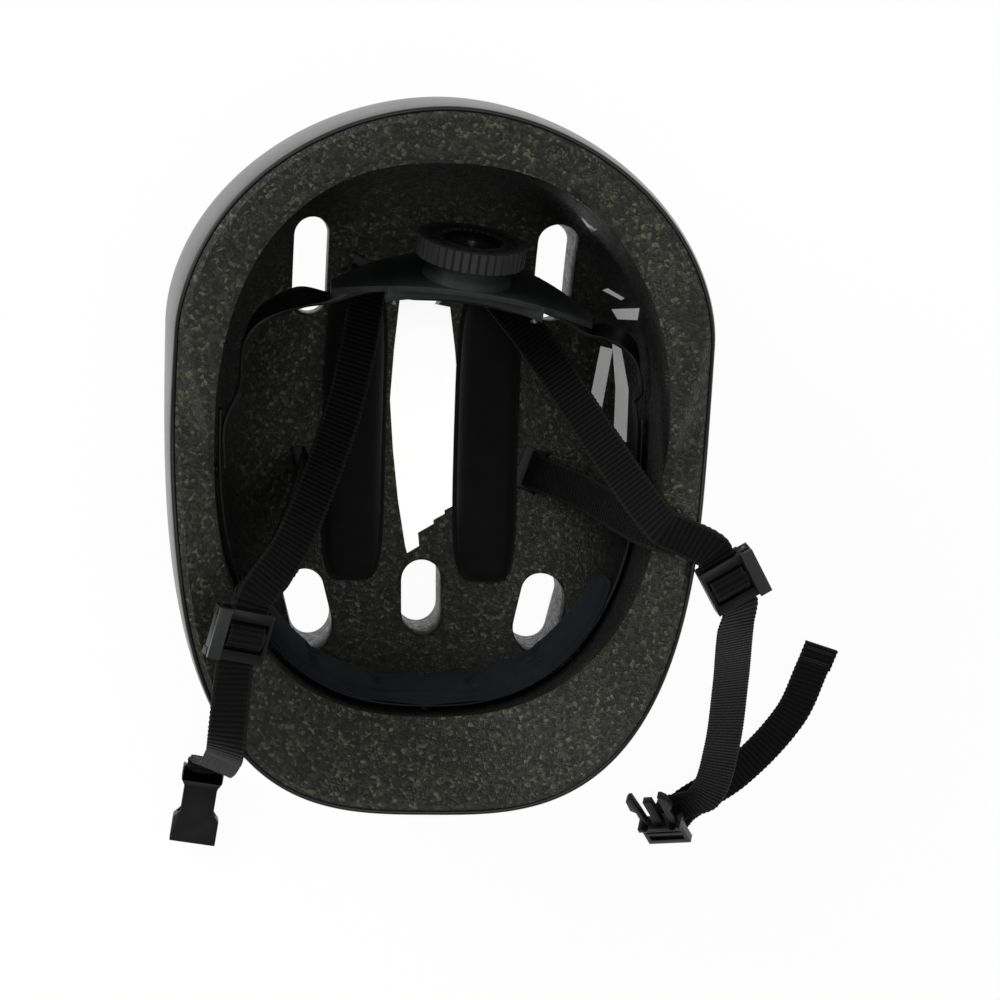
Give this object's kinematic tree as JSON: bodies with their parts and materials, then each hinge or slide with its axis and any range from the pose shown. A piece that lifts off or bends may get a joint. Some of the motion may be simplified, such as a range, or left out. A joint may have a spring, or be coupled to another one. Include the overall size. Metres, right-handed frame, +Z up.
{
  "type": "sports helmet",
  "caption": "Hard-shell open-face helmet lying on its crown, with foam liner, comfort pads, dial-adjusted head ring, webbing straps, cam sliders and a side-release chin buckle.",
  "frame": {"origin": "the lowest point of the crown's outer face, on which the helmet rests upside down", "axes": "+Z up out of the head opening, +Y towards the back of the head, +X towards the wearer's right"},
  "size_m": [0.2974, 0.3262, 0.1535],
  "materials": {
    "shell": "black ABS shell with a satin moulded surface",
    "liner_foam": "dark grey expanded polystyrene beads, matt with a slight sheen on the bead faces",
    "pad": "black brushed nylon cloth over soft foam",
    "brow_pad": "dark navy brushed nylon cloth over soft foam",
    "ring": "black nylon strip, semi-matt",
    "yoke": "mid grey nylon moulding, satin",
    "dial": "dark grey nylon with moulded grip ridges",
    "gear": "natural acetal",
    "screw": "plain turned steel",
    "webbing": "black woven polypropylene webbing",
    "buckle": "black acetal, semi-matt",
    "lever": "dark grey acetal, satin"
  },
  "bodies": {
    "helmet": {"outer_shell": "shell", "eps_liner": "liner_foam", "crown_pad_left": "pad", "crown_pad_right": "pad", "brow_pad": "brow_pad", "front_ring_band": "ring", "ring_anchors": "ring", "ring_arm_left": "ring", "ring_arm_right": "ring", "strap_anchors_front": "ring", "strap_anchors_rear": "ring", "rear_strap_left": "webbing", "rear_strap_right": "webbing", "front_strap_left": "webbing", "front_strap_right": "webbing", "slider_left": "buckle", "slider_right": "buckle", "lever_pin_left": "screw", "lever_pin_right": "screw"},
    "cradle": {"nape_yoke": "yoke", "nape_pad": "pad", "dial_base": "yoke", "rack_cover": "ring", "cover_screws": "screw", "detent_spring": "gear"},
    "left_rack": {"rack_left": "ring"},
    "right_rack": {"rack_right": "ring"},
    "dial": {"pinion": "gear", "size_dial": "dial", "dial_screw": "screw"},
    "left_lever": {"slider_lever_left": "lever"},
    "right_lever": {"slider_lever_right": "lever"},
    "left_strap": {"chin_strap_left": "webbing", "buckle_socket": "buckle"},
    "right_strap": {"chin_strap_right": "webbing", "strap_tail": "webbing", "tail_fold": "webbing", "buckle_plug": "buckle"},
    "left_prong": {"plug_arm_left": "buckle"},
    "right_prong": {"plug_arm_right": "buckle"}
  },
  "joints": [
    {"name": "cradle_slide", "type": "slide", "parent": "helmet", "child": "cradle", "axis": [0, -1, 0], "range_m": [0, 0.012], "deforming": ["ring_arm_left", "ring_arm_right"]},
    {"name": "dial_turn", "type": "hinge", "parent": "cradle", "child": "dial", "pos_m": [0.0112, 0.0734, 0.1006], "axis": [-0.1012, -0.9628, -0.2504], "range_deg": [0, 114.6]},
    {"name": "left_rack_turn", "type": "hinge", "parent": "cradle", "child": "left_rack", "pos_m": [-0.00074, -0.04022, 0.07105], "axis": [0.0262, 0.249, -0.9681], "range_deg": [0, 6.09]},
    {"name": "right_rack_turn", "type": "hinge", "parent": "cradle", "child": "right_rack", "pos_m": [-0.00074, -0.04022, 0.07105], "axis": [-0.0262, -0.249, 0.9681], "range_deg": [0, 6.09]},
    {"name": "left_lever_open", "type": "hinge", "parent": "helmet", "child": "left_lever", "pos_m": [-0.08527, -0.06299, 0.14679], "axis": [-0.2416, -0.969, -0.0523], "range_deg": [0, 90]},
    {"name": "right_lever_open", "type": "hinge", "parent": "helmet", "child": "right_lever", "pos_m": [0.12376, -0.03694, 0.13753], "axis": [-0.4975, 0.828, 0.2588], "range_deg": [0, 90]},
    {"name": "left_strap_swing", "type": "hinge", "parent": "helmet", "child": "left_strap", "pos_m": [-0.07725, -0.07655, 0.14303], "axis": [-0.9362, 0.2186, 0.2753], "range_deg": [0, 100]},
    {"name": "right_strap_swing", "type": "hinge", "parent": "helmet", "child": "right_strap", "pos_m": [0.11957, -0.0523, 0.13458], "axis": [-0.8572, -0.515, 0], "range_deg": [0, 100]},
    {"name": "left_prong_squeeze", "type": "hinge", "parent": "right_strap", "child": "left_prong", "pos_m": [0.10769, -0.17157, 0.01166], "axis": [0.2595, 0.6797, -0.6861], "range_deg": [0, 6], "stiffness_Nm_per_rad": 0.01},
    {"name": "right_prong_squeeze", "type": "hinge", "parent": "right_strap", "child": "right_prong", "pos_m": [0.11871, -0.16923, 0.01814], "axis": [-0.2595, -0.6797, 0.6861], "range_deg": [0, 6], "stiffness_Nm_per_rad": 0.01}
  ],
  "couplings": [
    {"joint": "dial_turn", "follows": "cradle_slide", "rad_per_m": 166.67},
    {"joint": "left_rack_turn", "follows": "cradle_slide", "rad_per_m": 8.845},
    {"joint": "right_rack_turn", "follows": "cradle_slide", "rad_per_m": 8.845}
  ]
}
